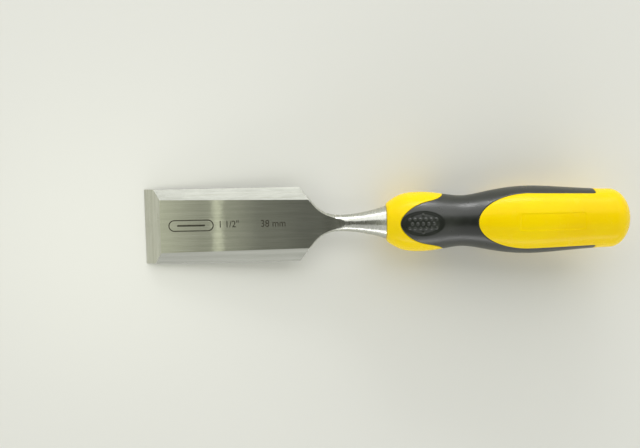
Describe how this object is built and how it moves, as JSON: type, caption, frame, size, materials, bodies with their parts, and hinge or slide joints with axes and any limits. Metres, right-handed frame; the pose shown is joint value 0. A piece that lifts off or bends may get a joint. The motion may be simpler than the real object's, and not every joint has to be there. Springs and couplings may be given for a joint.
{
  "type": "bench chisel",
  "caption": "Wide bevel-edge bench chisel: flat steel blade with ground side bevels and a conical bolster, in a turned hard plastic handle with a soft waist, side strips and thumb recesses.",
  "frame": {"origin": "midpoint of the cutting edge, in the plane of the blade's flat back", "axes": "+X from the cutting edge to the butt along the tool's axis; +Z out of the bevelled side, away from the flat back; +Y across the blade"},
  "size_m": [0.248, 0.0382, 0.0347],
  "materials": {
    "steel": "fine lengthwise grinding, satin; polished conical bolster",
    "hard_plastic": "moulded, glossy yellow",
    "rubber": "soft black overmoulding, satin, fine texture"
  },
  "bodies": {
    "root": {"blade": "steel", "handle_core": "hard_plastic", "soft_grip": "rubber"}
  },
  "joints": []
}
